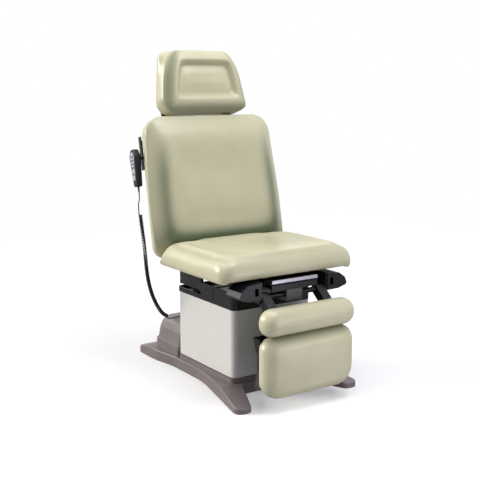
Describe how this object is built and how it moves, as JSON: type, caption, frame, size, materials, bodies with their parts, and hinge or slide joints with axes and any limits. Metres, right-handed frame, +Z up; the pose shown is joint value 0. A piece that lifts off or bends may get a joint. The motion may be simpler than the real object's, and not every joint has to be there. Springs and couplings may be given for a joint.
{
  "type": "powered procedure chair",
  "caption": "Powered procedure chair on a pedestal: lifting column, tilting padded seat, reclining back with a sliding headrest, swing-up leg rest, pull-out pan and a corded handset.",
  "frame": {"origin": "on the floor under the middle of the lift column", "axes": "+Z up, the chair faces -Y, the patient's left is +X"},
  "size_m": [0.6491, 1, 1.2996],
  "materials": {
    "vinyl": "soft satin",
    "base_paint": "satin",
    "white_cover": "satin",
    "black_plastic": "satin",
    "black_steel": "satin",
    "steel": "brushed",
    "shroud_grey": "matte",
    "plywood": "raw",
    "motor": "satin",
    "glide": "matte",
    "cord": "matte",
    "keypad": "matte"
  },
  "bodies": {
    "base": {"base_casting": "base_paint", "inner_shroud": "shroud_grey", "lift_tube_fixed": "steel", "lift_motor": "motor", "rear_housing": "base_paint", "rear_panel": "black_plastic", "power_inlet": "black_plastic", "control_box": "black_plastic", "transformer": "motor", "cord_curls": "cord", "cord_tail": "cord", "cord_gland": "black_plastic"},
    "lift_middle": {"middle_shroud": "shroud_grey", "shroud_glides": "glide", "lift_tube_middle": "steel"},
    "carriage": {"outer_shroud": "white_cover", "lift_tube_inner": "steel", "carriage_frame": "black_steel", "tilt_pins": "steel", "carriage_cover": "black_plastic", "tilt_ram_body": "motor"},
    "tilt_ram": {"tilt_ram_rod": "steel", "tilt_roller": "glide"},
    "seat": {"seat_frame": "black_steel", "seat_board": "plywood", "seat_cushion": "vinyl", "leg_support_socket_left": "black_plastic", "leg_support_socket_right": "black_plastic", "pan_runners": "black_plastic", "front_fascia": "black_plastic", "knee_drive": "motor", "recline_drive": "motor"},
    "pan": {"treatment_pan": "steel"},
    "leg_rest": {"leg_frame": "black_steel", "knee_shaft": "steel", "bolster_board": "plywood", "pad_board": "plywood", "bolster_cushion": "vinyl", "pad_cushion": "vinyl", "leg_shell": "black_plastic"},
    "back": {"back_frame": "black_steel", "recline_shaft": "steel", "back_shell": "black_plastic", "shell_screws": "steel", "back_cushion": "vinyl", "headrest_sleeves": "black_plastic", "handset_body": "black_plastic", "handset_keypad": "keypad", "handset_strain_relief": "cord", "handset_hook": "black_plastic", "cord_lead": "cord"},
    "headrest": {"headrest_bars": "black_steel", "headrest_board": "black_plastic", "headrest_cushion": "vinyl"}
  },
  "joints": [
    {"name": "lift", "type": "slide", "parent": "base", "child": "carriage", "axis": [0, 0, 1], "range_m": [0, 0.457], "deforming": ["cord_curls", "cord_lead", "cord_tail"]},
    {"name": "lift_middle_slide", "type": "slide", "parent": "base", "child": "lift_middle", "axis": [0, 0, 1], "range_m": [0, 0.2285]},
    {"name": "seat_tilt", "type": "hinge", "parent": "carriage", "child": "seat", "pos_m": [0, 0.13, 0.44], "axis": [-1, 0, 0], "range_deg": [0, 30]},
    {"name": "tilt_ram_slide", "type": "slide", "parent": "carriage", "child": "tilt_ram", "axis": [0, 0, 1], "range_m": [0, 0.12514]},
    {"name": "recline", "type": "hinge", "parent": "seat", "child": "back", "pos_m": [0, 0.195, 0.45], "axis": [-1, 0, 0], "range_deg": [0, 78.3]},
    {"name": "headrest_slide", "type": "slide", "parent": "back", "child": "headrest", "axis": [0, 0.2028, 0.9792], "range_m": [0, 0.13]},
    {"name": "leg_raise", "type": "hinge", "parent": "seat", "child": "leg_rest", "pos_m": [0, -0.32, 0.4], "axis": [-1, 0, 0], "range_deg": [0, 90]},
    {"name": "pan_pull", "type": "slide", "parent": "seat", "child": "pan", "axis": [0, -1, 0], "range_m": [0, 0.15]}
  ],
  "couplings": [
    {"joint": "lift_middle_slide", "follows": "lift", "ratio": 0.5},
    {"joint": "tilt_ram_slide", "follows": "seat_tilt", "m_per_rad": 0.239}
  ]
}
